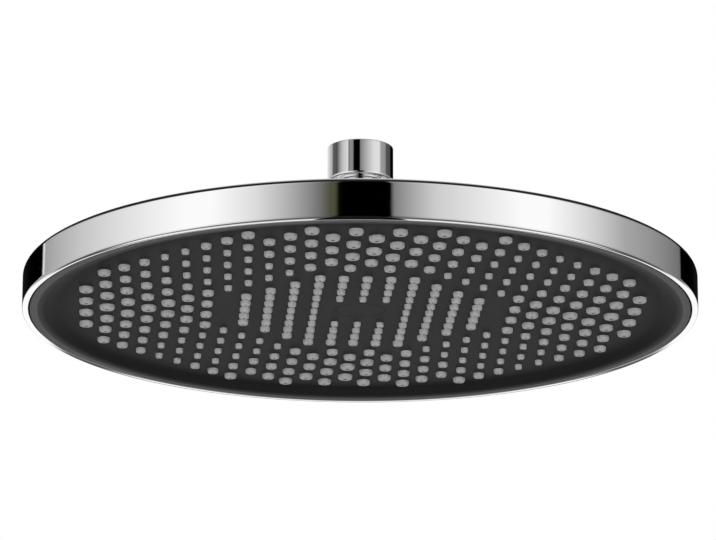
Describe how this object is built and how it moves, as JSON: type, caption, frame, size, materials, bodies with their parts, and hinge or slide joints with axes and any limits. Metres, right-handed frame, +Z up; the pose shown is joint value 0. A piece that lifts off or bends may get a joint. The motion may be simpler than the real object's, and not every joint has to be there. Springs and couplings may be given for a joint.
{
  "type": "rain shower head",
  "caption": "Round overhead rain shower head: chromed shell, dark recessed face with silicone spray nozzles, ball joint and female threaded union nut on top.",
  "frame": {"origin": "centre of the inlet mouth, on the top face of the union nut", "axes": "+Z up along the inlet thread, towards the arm; the spray leaves towards -Z; +Y points away from the viewer of the picture"},
  "size_m": [0.26, 0.26, 0.0689],
  "materials": {
    "chrome": "polished chrome plate on turned brass",
    "chrome_shell": "polished chrome plate on moulded ABS",
    "face": "satin dark grey moulded plastic",
    "nozzle": "light grey moulded silicone",
    "seal": "black rubber",
    "inner_plastic": "black moulded plastic",
    "steel": "stainless steel"
  },
  "bodies": {
    "connector": {"union_nut": "chrome"},
    "ball_tail": {"ball_tail": "chrome", "snap_ring": "steel", "inlet_washer": "seal", "filter_screen": "steel", "flow_regulator": "inner_plastic", "regulator_seal": "seal"},
    "head": {"shell": "chrome_shell", "shell_washer": "seal", "shell_nut": "chrome", "retaining_collar": "chrome", "friction_ring": "inner_plastic", "ball_cup": "inner_plastic", "ball_seal": "seal", "chamber_cover": "inner_plastic", "chamber_seal": "seal", "distributor_plate": "inner_plastic", "face_plate": "face", "spray_nozzles": "nozzle", "plate_screws": "steel", "centre_screw": "steel", "screw_seal": "seal", "centre_cap": "face"}
  },
  "joints": [
    {"name": "swivel", "type": "hinge", "parent": "connector", "child": "ball_tail", "pos_m": [0, 0, 0], "axis": [0, 0, 1], "continuous": true},
    {"name": "tilt", "type": "hinge", "parent": "ball_tail", "child": "head", "pos_m": [0, 0, -0.02939], "axis": [1, 0, 0], "range_deg": [-15, 15]}
  ]
}
